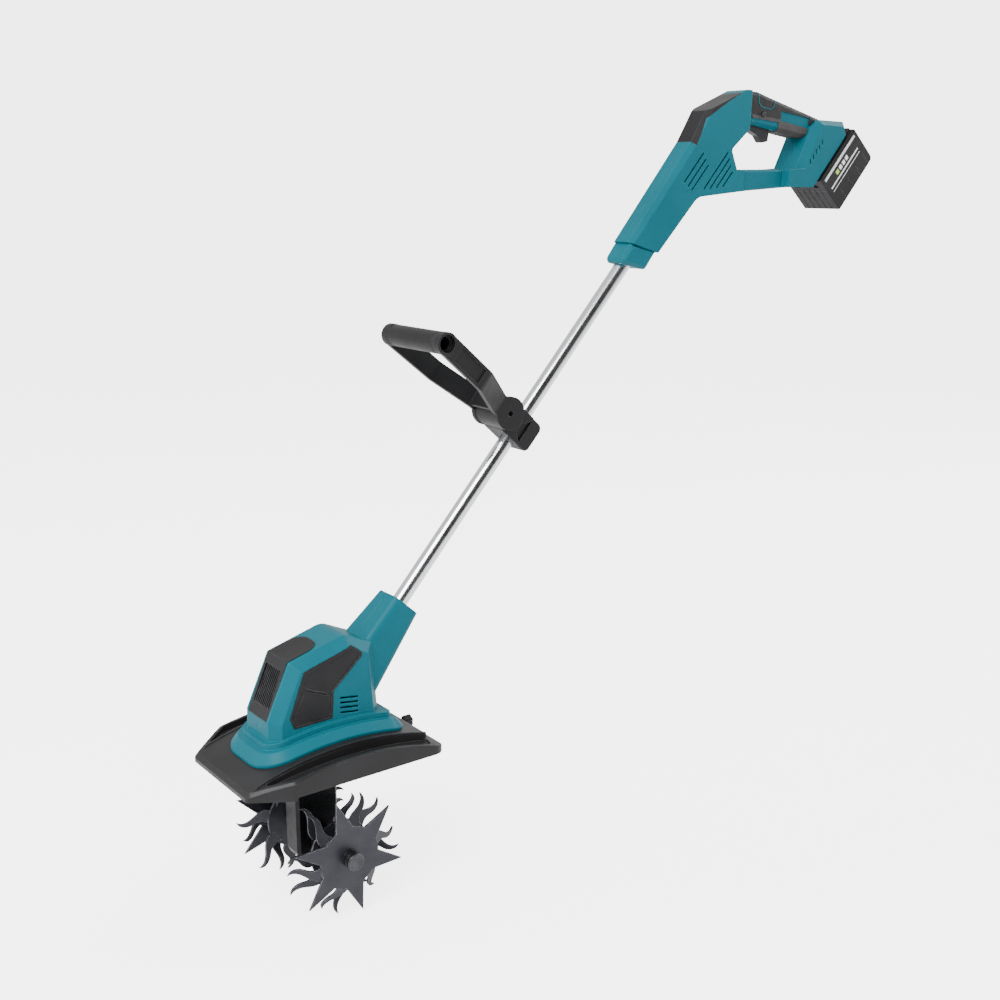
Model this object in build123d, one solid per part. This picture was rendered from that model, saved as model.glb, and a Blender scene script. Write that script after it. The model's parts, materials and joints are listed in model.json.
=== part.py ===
from build123d import *
import math
import os

os.makedirs("parts", exist_ok=True)

# A battery mini cultivator, in millimetres. +X is forwards, +Y is the machine's left, +Z is up.
# The origin is on the ground, under the middle of the machine's length.
# Every dimension below is measured from the middle of the tine axle, and place() moves it from there.
AXLE_X = 461.1
AXLE_Z = 86.05

# Main tube: it leans back from the motor housing to the rear handle.
TUBE_ANGLE = 48.0
TUBE_FOOT_X = -43.8
TUBE_FOOT_Z = 200.0
TUBE_RADIUS = 11.0
TUBE_WALL = 1.5
TUBE_START = 22.0
TUBE_END = 905.0
SLIDE_GAP = 0.06
TUBE_SCREWS = (782.0, 116.0)

# Plastic shells.
WALL = 3.0
BODY_HALF = 22.0
BAR_HALF = 19.6
GRIP_HALF = 17.5
DOCK_HALF = 34.0
SLEEVE_HALF = 21.0
SLEEVE_CORNER = 7.0
SHELL_SLOT = 3.0
BODY_BEVEL = 7.0
GRIP_BEVEL = 6.0
DOCK_BEVEL = 11.5
GRIP_COVER = 1.2

# Self-tapping screws in the shells.
SCREW_SHANK = 1.9
SCREW_HOLE = 2.0
SCREW_HEAD = 3.4
SCREW_HEAD_HOLE = 3.8
SCREW_BOSS = 4.6

# Motor housing.
HUMP_HALF = 44.0
GRILLE_HALF = 27.0
GRILLE_FINS = 9
FIN_SPACING = 4.4
HUMP_BEVEL = 13.5
PANEL_DEPTH = 3.0

# Guard: its top is a shallow arch about the Y direction.
CROWN_RADIUS = 420.0
CROWN_X = -16.0
CROWN_TOP = 157.0
GUARD_WALL = 3.5
GUARD_HALF = 112.0
GUARD_REAR = -145.0
CROWN_REAR = -131.0
CROWN_HALF = 79.4
CHANNEL_RADIUS = 620.0
CHANNEL_DEPTH = 15.0
# The outer lip is lower than the top. It drops more towards the rear, as its arch sits further forward.
LIP_DROP = 4.3
LIP_SHIFT = 10.7

# Worm drive.
WORM_X = 25.0
MODULE = 1.25
WHEEL_TEETH = 30
WORM_PITCH_RADIUS = 6.25
PRESSURE_ANGLE = 20.0
BACKLASH = 0.5
ADDENDUM = 1.1
DEDENDUM = 1.5
WHEEL_FACE = 9.0
WHEEL_SPACE = 21.0
WORM_TURNS = 5

# Tine axle and discs.
AXLE_RADIUS = 6.0
AXLE_HALF = 105.0
PIN_Y = 96.0
DISC_INNER_Y = 60.5
DISC_OUTER_Y = 90.0
DISC_THICKNESS = 3.0
DISC_ROOT_RADIUS = 44.0
DISC_TIP_RADIUS = 85.0
SPIKE_PAIRS = 6
SPIKE_PHASE = 21.0
TINE_BEND = 27.0
WAVY_TINES = 8
WAVY_PHASE = 97.0
WAVY_BEND = 16.0
HUB_RADIUS = 10.5
COLLAR_RADIUS = 16.0
PIN_RADIUS = 1.6
LEG_HALF = 18.0
BOSS_HALF = 25.0

# Auxiliary handle.
CLAMP_S = 448.0
CLAMP_HALF_LENGTH = 23.0
CLAMP_HALF = 20.5
CLAMP_SCREW_Y = 14.4
POCKET_DEPTH = 3.3
HINGE_N = 41.0
HINGE_RADIUS = 24.0
ARM_ANGLE = 40.0
ARM_LENGTH = 174.0
ARM_THICKNESS = 7.0
ARM_HALF_WIDTH = 15.0
BARREL_HALF = 23.8
CROSSBAR_HALF = 70.0
CROSSBAR_RADIUS = 15.5
CROSSBAR_CORE = 11.5
CROSSBAR_BORE = 9.0
CROSSBAR_MOUTH = 12.2

# Battery pack, which sits parallel to the tube.
PACK_START = 1103.0
PACK_END = 1217.0
PACK_TOP = -212.0
PACK_BOTTOM = -281.0
PACK_HALF = 38.4
DOCK_FACE = -207.0
RAIL_CLEARANCE = 0.4

COS = math.cos(math.radians(TUBE_ANGLE))
SIN = math.sin(math.radians(TUBE_ANGLE))
SIDE = Plane(origin=(0, 0, 0), x_dir=(1, 0, 0), z_dir=(0, -1, 0))
TUBE = Plane(origin=(TUBE_FOOT_X, 0, TUBE_FOOT_Z), x_dir=(-COS, 0, SIN), z_dir=(0, 1, 0))
FRAME = {}


def place(shape):
    """Move a shape from the axle's frame into the machine's frame."""
    return Pos(AXLE_X, 0, AXLE_Z) * shape


def add(name, shape):
    FRAME[name] = place(shape)


def on_tube(s, n):
    """The X and Z of a point s along the tube and n to its upper side."""
    return (TUBE_FOOT_X - s * COS + n * SIN, TUBE_FOOT_Z + s * SIN + n * COS)


def outline(points, radii=None):
    """A closed outline, with some of its corners rounded: {corner number: radius}."""
    face = Polygon(*points, align=None)
    for index, radius in (radii or {}).items():
        corner = face.vertices().sort_by_distance(Vector(*points[index]))[0]
        face = fillet(corner, radius)
    return face


def slab(face, half):
    """A side-view outline given thickness evenly about the middle plane."""
    return extrude(SIDE * face, amount=half, both=True)


def slab_between(face, low, high):
    """A side-view outline between two Y positions."""
    return Pos(0, high, 0) * extrude(SIDE * face, amount=high - low)


def tube_slab(face, half):
    """An outline drawn along the tube, given thickness evenly about the middle plane."""
    return extrude(TUBE * face, amount=half, both=True)


def tube_box(s_low, s_high, n_low, n_high, y_low, y_high):
    """A block lined up with the tube."""
    size = (s_high - s_low, n_high - n_low, y_high - y_low)
    middle = ((s_low + s_high) / 2, (n_low + n_high) / 2, (y_low + y_high) / 2)
    return TUBE.location * Pos(*middle) * Box(*size)


def tube_rod(radius, s_low, s_high, n=0.0, y=0.0):
    """A round bar parallel to the tube."""
    bar = Pos((s_low + s_high) / 2, n, y) * Rot(0, 90, 0) * Cylinder(radius, s_high - s_low)
    return TUBE.location * bar


def tube_pin(radius, n_low, n_high, s, y):
    """A round bar at a right angle to the tube, in the side plane."""
    bar = Pos(s, (n_low + n_high) / 2, y) * Rot(90, 0, 0) * Cylinder(radius, n_high - n_low)
    return TUBE.location * bar


def cross_rod(radius, x, z, y_low, y_high):
    """A round bar along Y."""
    return Pos(x, (y_low + y_high) / 2, z) * Rot(90, 0, 0) * Cylinder(radius, y_high - y_low)


def upright(radius, x, y, z_low, z_high):
    return Pos(x, y, (z_low + z_high) / 2) * Cylinder(radius, z_high - z_low)


def block(x_low, x_high, y_low, y_high, z_low, z_high):
    middle = ((x_low + x_high) / 2, (y_low + y_high) / 2, (z_low + z_high) / 2)
    return Pos(*middle) * Box(x_high - x_low, y_high - y_low, z_high - z_low)


def halves(body):
    """Cut a shell along the middle plane into its left (+Y) and right (-Y) mouldings."""
    big = 2400
    left = body & Pos(0, big / 2, 0) * Box(2 * big, big, 2 * big)
    right = body & Pos(0, -big / 2, 0) * Box(2 * big, big, 2 * big)
    return left, right


def side_edges(shape, half, keep):
    """The edges lying in the two side faces at Y = +half and -half whose middle passes keep(x, z)."""
    picked = []
    for edge in shape.edges():
        box = edge.bounding_box()
        flat = box.max.Y - box.min.Y < 0.01
        if flat and abs(abs(box.max.Y) - half) < 0.01:
            middle = edge @ 0.5
            if keep(middle.X, middle.Z):
                picked.append(edge)
    return ShapeList(picked)


def crown(radius_change, half=130.0):
    """The solid under the guard's arch, raised by radius_change."""
    centre_z = CROWN_TOP - CROWN_RADIUS
    return cross_rod(CROWN_RADIUS + radius_change, CROWN_X, centre_z, -half, half)


# ---------------------------------------------------------------- tube and wiring


def main_tube():
    pipe = tube_rod(TUBE_RADIUS, TUBE_START, TUBE_END)
    for s in TUBE_SCREWS:
        x, z = on_tube(s, 0)
        pipe -= cross_rod(1.9, x, z, -20, 0)
    return pipe - tube_rod(TUBE_RADIUS - TUBE_WALL, TUBE_START - 1, TUBE_END + 1)


def wiring_cable():
    """A two-core cable inside the tube, from the switch's end to the motor's end."""
    core = 1.6
    cable = tube_rod(core, TUBE_START - 12, TUBE_END + 18, 0, core)
    return cable + tube_rod(core, TUBE_START - 12, TUBE_END + 18, 0, -core)


# ---------------------------------------------------------------- rear handle

CAP_START = 962.0
GRIP_FRONT = -784.0


def body_outline(shrink=0.0):
    """The wedge between the tube's sleeve and the grip."""
    points = [
        on_tube(772 + shrink, 26 - shrink),
        on_tube(CAP_START, 32 - shrink),
        (-693.0 - shrink * 0.6, 982.5 - shrink),
        (-776.0, 1015.5 - shrink),
        (-787.0, 1015.0 - shrink),
        (GRIP_FRONT + shrink, 957.0 + shrink * 1.5),
        (-746.0 + shrink, 926.0 + shrink * 0.4),
        (-759.0 + shrink, 896.0 - shrink),
        (-776.0, 896.0 - shrink),
        (-776.0, 863.5 + shrink),
        (-676.0, 855.0 + shrink),
        on_tube(797 + shrink, -27 + shrink),
    ]
    return outline(points, {10: 26.0 + shrink, 6: 6.0})


def grip_outline(grow=0.0):
    points = [
        (GRIP_FRONT + 6, 1012.5 + grow),
        (-806.0, 1012.5 + grow),
        (-834.0, 1005.0 + grow),
        (-968.0, 971.0 + grow),
        (-966.0, 946.0 - grow),
        (-904.0, 948.0 - grow),
        (-846.0, 957.0 - grow),
        (GRIP_FRONT + 6, 967.0 - grow),
    ]
    return outline(points, {2: 20.0})


def dock_outline(shrink=0.0):
    points = [
        (-866.0 - shrink, 869.0 + shrink),
        (-925.0, 869.0 + shrink),
        on_tube(1102 + shrink, DOCK_FACE + shrink),
        on_tube(1181, DOCK_FACE + shrink),
        (-1004.0 + shrink, 958.0),
        (-998.0 + shrink, 973.0 - shrink),
        (-940.0, 974.5 - shrink),
        (-926.5 - shrink, 964.5 - shrink),
        (-891.5 - shrink, 898.0 - shrink),
        (-866.0 - shrink, 896.5 - shrink),
    ]
    return outline(points, {1: 6.0 + shrink})


def handle_body(shrink=0.0):
    """The handle's outside, or its inside when it shrinks by the wall."""
    body = slab(body_outline(shrink), BODY_HALF - shrink)
    front = side_edges(body, BODY_HALF - shrink, lambda x, z: z > 1.2 * (-x) + 118 and z < 1014)
    return chamfer(front, BODY_BEVEL - shrink * 0.5)


def handle_bar(shrink=0.0):
    points = [
        (-740.0, 896.0 - shrink),
        (-900.0, 897.0 - shrink),
        (-900.0, 870.0 + shrink),
        (-740.0, 861.0 + shrink),
    ]
    bar = slab(outline(points), BAR_HALF - shrink)
    long_edges = side_edges(bar, BAR_HALF - shrink, lambda x, z: abs(x + 820) < 30)
    return fillet(long_edges, 4.0)


def handle_grip(shrink=0.0):
    grip = slab(grip_outline(-shrink), GRIP_HALF - shrink)
    long_edges = side_edges(grip, GRIP_HALF - shrink, lambda x, z: -960 < x < -785)
    return chamfer(long_edges, GRIP_BEVEL - shrink * 0.5)


def dock_body(shrink=0.0):
    dock = slab(dock_outline(shrink), DOCK_HALF - shrink)
    front = side_edges(dock, DOCK_HALF - shrink, lambda x, z: abs(x + 909) < 6 and 905 < z < 955)
    dock = chamfer(front, DOCK_BEVEL)
    top = side_edges(dock, DOCK_HALF - shrink, lambda x, z: z > 960 and x < -935)
    return chamfer(top, 8.0)


def sleeve():
    points = [
        on_tube(738, 20),
        on_tube(774, 22),
        on_tube(799, -25),
        on_tube(764, -27),
    ]
    part = slab(outline(points, {0: SLEEVE_CORNER, 3: SLEEVE_CORNER}), SLEEVE_HALF)
    return chamfer(side_edges(part, SLEEVE_HALF, lambda x, z: True), 5.0)


def body_slots():
    """Two groups of slots in each side of the handle's wedge, parallel to the tube."""
    cuts = []
    for index in range(3):
        n = 5.0 - 10.0 * index
        cuts.append(tube_box(906 + index, 965 - 3 * index, n - 1.4, n + 1.4, -30, 30))
    for index in range(4):
        n = -33.0 - 9.3 * index
        start = 926 + 10 * index
        cuts.append(tube_box(start, 1001 - 4.5 * index, n - 1.4, n + 1.4, -30, 30))
    return cuts


def dock_slots():
    """Five short vents stepping up each side of the dock."""
    cuts = []
    for index in range(5):
        x = -915.0 - 6.6 * index
        z = 909.0 + 7.6 * index
        cuts.append(Pos(x, 0, z) * Rot(0, 12, 0) * Box(SHELL_SLOT, 90, 8.5))
    return cuts


def cap_region():
    """The side-view area that the black cap covers: the handle's front top corner."""
    points = [
        on_tube(CAP_START, 23),
        (-691.0, 971.0),
        (-733.0, 995.0),
        (-762.0, 1009.0),
        (-776.0, 1022.0),
        (-690.0, 1022.0),
        on_tube(CAP_START, 50),
    ]
    return slab(outline(points), 40)


def trigger_slot():
    return block(-850, -788, -8.2, 8.2, 930, 975)


def handle_screw_spots():
    return ((-690.6, 882.4), (-735.0, 985.0), (-820.0, 879.0), (-930.0, 955.0))


def screw(x, z, y_head, length, shank=SCREW_SHANK, head=SCREW_HEAD, head_height=2.4):
    """A pan-head screw along Y, its head on the -Y side, with a cross recess."""
    body = cross_rod(shank, x, z, y_head, y_head + length)
    top = cross_rod(head, x, z, y_head - head_height, y_head)
    top = chamfer(top.edges().group_by(Axis.Y)[0], 0.8)
    recess = block(x - 2.2, x + 2.2, y_head - 3, y_head - 1.2, z - 0.45, z + 0.45)
    recess += block(x - 0.45, x + 0.45, y_head - 3, y_head - 1.2, z - 2.2, z + 2.2)
    return body + top - recess


def handle_parts():
    outside = handle_body() + handle_bar() + handle_grip() + dock_body() + sleeve()
    inside = handle_body(WALL) - tube_box(700, 868, -60, 60, -40, 40)
    inside += handle_bar(WALL) + handle_grip(WALL) + dock_body(WALL)
    inside -= tube_box(900, 912, -18, 18, -40, 40)
    shell = outside - inside
    shell -= tube_rod(TUBE_RADIUS, 700, TUBE_END)
    shell -= tube_rod(5.0, TUBE_END - 1, TUBE_END + 20)
    shell -= cap_region()
    shell -= trigger_slot()
    for cut in body_slots() + dock_slots():
        shell -= cut
    shell -= dock_recess()
    shell -= lock_button_hole()
    shell -= terminal_space()
    shell -= trigger_pin()
    for x, z in handle_screw_spots():
        boss_low = -BODY_HALF + WALL
        shell += cross_rod(SCREW_BOSS, x, z, boss_low, -boss_low) & outside
        shell -= cross_rod(SCREW_HOLE, x, z, -60, 8)
        shell -= cross_rod(SCREW_HEAD_HOLE, x, z, -60, -13.0)
    shell -= tube_screw_cut(782.0, SLEEVE_HALF + 5)
    cap = (handle_body() & cap_region()) - handle_body(WALL)
    left, right = halves(shell)
    add("handle_shell_left", left)
    add("handle_shell_right", right)
    add("handle_front_cap", cap)
    screws = [screw(x, z, -13.0, 19.0) for x, z in handle_screw_spots()]
    add("handle_screws", Compound(screws))


def tube_screw_cut(s, reach):
    x, z = on_tube(s, 0)
    head = cross_rod(SCREW_HEAD_HOLE, x, z, -reach - 40, -16.0)
    return cross_rod(SCREW_HOLE, x, z, -reach, 6) + head


def tube_screws():
    """One screw at each end of the tube keeps it in its socket."""
    parts = []
    for s in TUBE_SCREWS:
        x, z = on_tube(s, 0)
        parts.append(screw(x, z, -16.0, 8.0))
    return Compound(parts)


def grip_covers():
    """The black overmould on the grip, and the softer pad under its rear end."""
    half = GRIP_HALF + GRIP_COVER
    outer = slab(grip_outline(GRIP_COVER), half)
    outer = chamfer(side_edges(outer, half, lambda x, z: -960 < x < -785), GRIP_BEVEL)
    core = handle_grip()
    band = slab(
        outline(
            [
                (GRIP_FRONT, 1030),
                (-952.0, 1030),
                (-952.0, 962.0),
                (-926.0, 966.0),
                (-790.0, 980.0),
                (GRIP_FRONT, 972.0),
            ]
        ),
        60,
    )
    inset = slab(
        outline([(-858.0, 986.0), (-926.0, 976.5), (-921.0, 961.0), (-857.0, 971.0)]), 60
    )
    shell = outer - core
    over = (shell & band) - inset - lock_button_hole(0.6)
    lower = slab(
        outline(
            [
                (-790.0, 980.0),
                (-921.0, 966.4),
                (-921.0, 940.0),
                (-853.0, 940.0),
                (-853.0, 968.5),
                (-793.0, 974.5),
            ]
        ),
        60,
    )
    pad = (shell & lower) - inset - lock_button_hole(0.6)
    pad -= trigger_slot()
    pad -= dock_body()
    over -= dock_body()
    pad -= handle_body()
    over -= handle_body()
    add("grip_overmould", over)
    add("grip_pad", pad)


# ---------------------------------------------------------------- switch, trigger and lock

LOCK_X = -816.0
LOCK_Z = 980.0
LOCK_RADIUS = 4.0
TRIGGER_PIVOT_X = -797.0
TRIGGER_PIVOT_Z = 970.5


def lock_button_hole(extra=0.08):
    return cross_rod(LOCK_RADIUS + extra, LOCK_X, LOCK_Z, -60, 60)


def trigger():
    points = [
        (-792.0, 975.0),
        (-792.0, 960.0),
        (-806.0, 953.5),
        (-820.0, 948.0),
        (-829.0, 937.5),
        (-842.0, 939.5),
        (-845.0, 962.0),
        (-828.0, 966.0),
    ]
    part = slab(outline(points, {0: 3.0, 3: 8.0, 4: 4.0, 5: 4.0}), 7.6)
    part = fillet(side_edges(part, 7.6, lambda x, z: z < 956), 2.0)
    return part - cross_rod(2.05, TRIGGER_PIVOT_X, TRIGGER_PIVOT_Z, -20, 20)


def trigger_pin():
    return cross_rod(2.0, TRIGGER_PIVOT_X, TRIGGER_PIVOT_Z, -GRIP_HALF + 1.5, GRIP_HALF - 1.5)


def switch_body():
    case = block(-872, -834, -8, 8, 975, 991)
    tabs = block(-880, -872, -6, -2, 978, 984) + block(-880, -872, 2, 6, 978, 984)
    return case + tabs


def lock_button():
    rod = cross_rod(LOCK_RADIUS, LOCK_X, LOCK_Z, -GRIP_HALF - 2.4, GRIP_HALF + 4.4)
    collar = cross_rod(LOCK_RADIUS + 1.2, LOCK_X, LOCK_Z, -4, 4)
    return chamfer(rod.edges(), 0.8) + collar


def control_parts():
    add("trigger", trigger())
    add("trigger_pin", trigger_pin())
    add("switch_body", switch_body())
    add("lock_button", lock_button())


# ---------------------------------------------------------------- dock and battery

RAIL_NECK = 19.5
RAIL_HEAD = 24.5
RAIL_NECK_N = -202.5
RAIL_HEAD_N = -196.0
PACK_STOP = 1110.0


def dock_recess():
    """The undercut channel that the battery's rail slides out of, upwards and back."""
    gap = RAIL_CLEARANCE
    start = PACK_STOP - gap
    neck = tube_box(start, 1300, DOCK_FACE - 30, RAIL_NECK_N + gap, -RAIL_NECK - gap, RAIL_NECK + gap)
    head_low = RAIL_NECK_N - gap
    head_high = RAIL_HEAD_N + gap
    return neck + tube_box(start, 1300, head_low, head_high, -RAIL_HEAD - gap, RAIL_HEAD + gap)


def terminal_space():
    return tube_box(PACK_STOP - 14, PACK_STOP - 0.4, -205, -190, -22, 22)


def terminal_block():
    """An insulating block at the foot of the channel, with its blades pointing up the channel."""
    body = terminal_space()
    for y in (-14.0, 0.0, 14.0):
        body -= tube_box(PACK_STOP - 16, PACK_STOP + 1, -203.5, -197.5, y - 0.4, y + 0.4)
    return body


def terminal_blades():
    blades = []
    for y in (-14.0, 0.0, 14.0):
        blades.append(tube_box(PACK_STOP - 18, PACK_STOP + 14, -203.5, -197.5, y - 0.4, y + 0.4))
    return Compound(blades)


def pack_outline(shrink=0.0):
    points = [
        (PACK_START + shrink, PACK_TOP - shrink),
        (PACK_END - shrink, PACK_TOP - shrink),
        (PACK_END - shrink, PACK_BOTTOM + shrink),
        (PACK_START + shrink, PACK_BOTTOM + shrink),
    ]
    return outline(points, {1: 3.0, 2: 9.0, 3: 4.0})


def pack_grooves():
    """Lines across the lower half of each side, ribs down the lower end, and two notches there."""
    cuts = []
    for side in (-1, 1):
        y = side * PACK_HALF
        for index in range(4):
            s = PACK_START + 24 + 25 * index
            cuts.append(tube_box(s, s + 1.2, PACK_BOTTOM + 4, PACK_BOTTOM + 26, y - 0.8, y + 0.8))
        y = side * 20.0
        cuts.append(tube_box(PACK_START - 1, PACK_START + 2, PACK_TOP - 15, PACK_TOP - 6, y - 5, y + 5))
    for index in range(5):
        y = -24.0 + 12.0 * index
        cuts.append(tube_box(PACK_START - 1, PACK_START + 1, PACK_BOTTOM + 5, PACK_TOP - 18, y - 1, y + 1))
    return cuts


def battery_parts():
    outer = tube_slab(pack_outline(), PACK_HALF)
    outer = chamfer(side_edges(outer, PACK_HALF, lambda x, z: True), 2.8)
    rail = tube_box(PACK_STOP, 1196, PACK_TOP, RAIL_NECK_N, -RAIL_NECK, RAIL_NECK)
    rail += tube_box(PACK_STOP, 1196, RAIL_NECK_N, RAIL_HEAD_N, -RAIL_HEAD, RAIL_HEAD)
    shoulder = tube_box(PACK_START + 4, PACK_END - 3, PACK_TOP, PACK_TOP + 4.4, -30, 30)
    case = outer + rail + shoulder - tube_slab(pack_outline(2.6), PACK_HALF - 2.6)
    for y in (-14.0, 0.0, 14.0):
        case -= tube_box(PACK_STOP - 1, PACK_STOP + 20, -205, -194, y - 1.2, y + 1.2)
    case -= release_pocket()
    for cut in pack_grooves():
        case -= cut
    seam = PACK_TOP - 24.0
    upper = case & tube_box(1000, 1300, seam, 0, -60, 60)
    lower = case & tube_box(1000, 1300, -400, seam, -60, 60)
    add("battery_case_upper", upper)
    add("battery_case_lower", lower)
    cells = []
    for row in range(3):
        for column in range(5):
            x, z = on_tube(PACK_START + 15 + 21 * column, PACK_TOP - 15.5 - 19.4 * row)
            cells.append(cross_rod(9.1, x, z, -32.5, 32.5))
    add("battery_cells", Compound(cells))
    add("battery_label_plates", label_plates())
    add("battery_button", release_button())


def label_plates():
    """A plain raised plate on each side of the pack."""
    plates = []
    for low, high in ((PACK_HALF, PACK_HALF + 0.6), (-PACK_HALF - 0.6, -PACK_HALF)):
        plates.append(tube_box(PACK_START + 6, PACK_END - 10, PACK_TOP - 8.6, PACK_TOP - 4.2, low, high))
    return Compound(plates)


def release_pocket():
    return tube_box(1199.5, 1212.5, PACK_TOP - 5, PACK_TOP + 20, -13.5, 13.5)


def release_button():
    stem = tube_box(1200, 1212, PACK_TOP - 4, PACK_TOP + 8, -13, 13)
    return chamfer(stem.faces().sort_by_distance(Vector(*on_tube_3d(1206, PACK_TOP + 8)))[0].edges(), 1.5)


def on_tube_3d(s, n):
    x, z = on_tube(s, n)
    return (x, 0, z)


# ---------------------------------------------------------------- auxiliary handle

HINGE_X, HINGE_Z = on_tube(CLAMP_S, HINGE_N)
ARM = Plane(
    origin=(HINGE_X, 0, HINGE_Z),
    x_dir=(math.cos(math.radians(ARM_ANGLE)), 0, math.sin(math.radians(ARM_ANGLE))),
    z_dir=(-math.sin(math.radians(ARM_ANGLE)), 0, math.cos(math.radians(ARM_ANGLE))),
)
BAR_X = HINGE_X + ARM_LENGTH * math.cos(math.radians(ARM_ANGLE))
BAR_Z = HINGE_Z + ARM_LENGTH * math.sin(math.radians(ARM_ANGLE))


def below_split(x, z):
    """Whether a point in the side view lies beyond the clamp's split, on the cap's side."""
    n = (x - TUBE_FOOT_X) * SIN + (z - TUBE_FOOT_Z) * COS
    return n < -6


def clamp_parts():
    low = CLAMP_S - CLAMP_HALF_LENGTH
    high = CLAMP_S + CLAMP_HALF_LENGTH
    barrel = cross_rod(HINGE_RADIUS - 1, HINGE_X, HINGE_Z, -BARREL_HALF, BARREL_HALF)
    saddle = tube_slab(
        outline([(low, -4.6), (high, -4.6), (high, 22), (high - 6, 34), (low + 2, 40), (low, 30)], {3: 5}),
        CLAMP_HALF,
    )
    body = barrel + saddle
    bore = tube_rod(TUBE_RADIUS + SLIDE_GAP, low - 30, high + 30)
    body -= bore
    body -= cross_rod(4.05, HINGE_X, HINGE_Z, -40, 40)
    pocket = tube_slab(outline([(451, 8.5), (466, -6), (428.5, -6), (437.5, 6.6)]), CLAMP_HALF + 1)
    body -= pocket - tube_slab(Rectangle(2000, 2000), CLAMP_HALF - POCKET_DEPTH)
    cap = tube_slab(outline([(low, -28), (high, -28), (high, -5), (low, -5)], {0: 9, 1: 9}), CLAMP_HALF)
    cap = chamfer(side_edges(cap, CLAMP_HALF, below_split), 1.8)
    cap -= bore
    screws = []
    for y in (-CLAMP_SCREW_Y, CLAMP_SCREW_Y):
        cap -= tube_pin(2.1, -30, 0, CLAMP_S, y)
        cap -= tube_pin(4.0, -30, -22, CLAMP_S, y)
        body -= tube_pin(2.1, -10, 14, CLAMP_S, y)
        pin = tube_pin(2.0, -22, 12, CLAMP_S, y) + tube_pin(3.7, -25.5, -22, CLAMP_S, y)
        pin -= TUBE.location * Pos(CLAMP_S, -24.5, y) * Rot(90, 0, 0) * hex_prism(1.7, 3)
        screws.append(pin)
    add("clamp_body", body)
    add("clamp_cap", cap)
    add("clamp_screws", Compound(screws))
    bolt = cross_rod(4.0, HINGE_X, HINGE_Z, -34, 27.5)
    bolt -= Pos(HINGE_X, 27, HINGE_Z) * Rot(90, 0, 0) * hex_prism(2.5, 6)
    nut = Pos(HINGE_X, -34.2, HINGE_Z) * Rot(90, 0, 0) * hex_prism(6.5, 6)
    nut -= cross_rod(4.0, HINGE_X, HINGE_Z, -40, -20)
    add("hinge_bolt", bolt)
    add("hinge_nut", nut)


def hex_prism(apothem, height):
    return extrude(RegularPolygon(apothem, 6, major_radius=False), amount=height / 2, both=True)


def arm_band(side):
    """One arm, seen along the hinge: it runs out from its hinge disc, then along to the crossbar."""
    inner = BARREL_HALF + 0.2
    outer = inner + ARM_THICKNESS
    points = [
        (0, inner),
        (27, inner),
        (88, 57),
        (ARM_LENGTH, 63),
        (ARM_LENGTH, CROSSBAR_HALF),
        (86, 64),
        (24, outer),
        (0, outer),
    ]
    face = outline(points, {2: 12, 5: 16, 1: 8, 6: 8})
    band = extrude(ARM * face, amount=ARM_HALF_WIDTH, both=True)
    recess = outline([(96, 62), (150, 66), (150, 80), (96, 80)])
    band -= extrude(ARM * recess, amount=ARM_HALF_WIDTH - 4, both=True)
    band += cross_rod(HINGE_RADIUS, HINGE_X, HINGE_Z, inner, outer)
    band -= cross_rod(4.1, HINGE_X, HINGE_Z, inner - 1, outer + 1)
    if side < 0:
        band = mirror(band, about=Plane.XZ)
    return band


def aux_handle_parts():
    frame = arm_band(1) + arm_band(-1)
    web_radius = HINGE_RADIUS + 1.5
    web = outline([(web_radius, -26), (web_radius + 5, -30), (web_radius + 5, 30), (web_radius, 26)])
    frame += extrude(ARM * web, amount=ARM_HALF_WIDTH - 2, both=True)
    for low, high in ((CROSSBAR_HALF - 11, CROSSBAR_HALF), (-CROSSBAR_HALF, 11 - CROSSBAR_HALF)):
        frame += cross_rod(CROSSBAR_RADIUS, BAR_X, BAR_Z, low, high)
    frame += cross_rod(CROSSBAR_CORE, BAR_X, BAR_Z, -CROSSBAR_HALF + 1, CROSSBAR_HALF - 1)
    for radius, depth in ((CROSSBAR_BORE, 30), (CROSSBAR_MOUTH, 9)):
        frame -= cross_rod(radius, BAR_X, BAR_Z, CROSSBAR_HALF - depth, CROSSBAR_HALF + 5)
        frame -= cross_rod(radius, BAR_X, BAR_Z, -CROSSBAR_HALF - 5, depth - CROSSBAR_HALF)
    add("aux_handle_frame", frame)
    half = CROSSBAR_HALF - 11.2
    grip = cross_rod(CROSSBAR_RADIUS - 0.4, BAR_X, BAR_Z, -half, half)
    grip -= cross_rod(CROSSBAR_CORE, BAR_X, BAR_Z, -half - 1, half + 1)
    for y in (-half + 3, -half + 7, half - 3, half - 7):
        ring = cross_rod(CROSSBAR_RADIUS + 2, BAR_X, BAR_Z, y - 0.8, y + 0.8)
        grip -= ring - cross_rod(CROSSBAR_RADIUS - 1.2, BAR_X, BAR_Z, y - 2, y + 2)
    add("aux_handle_grip", grip)


# ---------------------------------------------------------------- motor housing

BASE_Z = 165.0


def hump_outline(shrink=0.0):
    points = [
        (84.0 - shrink, BASE_Z - 30),
        (82.5 - shrink, 195.0),
        (49.0 - shrink * 0.8, 268.5 - shrink),
        (-33.0, 291.5 - shrink),
        (-76.0 + shrink, 272.0 - shrink),
        (-86.0 + shrink, BASE_Z - 30),
    ]
    return outline(points, {3: 24.0})


def hump(shrink=0.0):
    half = HUMP_HALF - shrink
    body = slab(hump_outline(shrink), half)
    return chamfer(side_edges(body, half, lambda x, z: z > BASE_Z - 25), HUMP_BEVEL)


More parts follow.
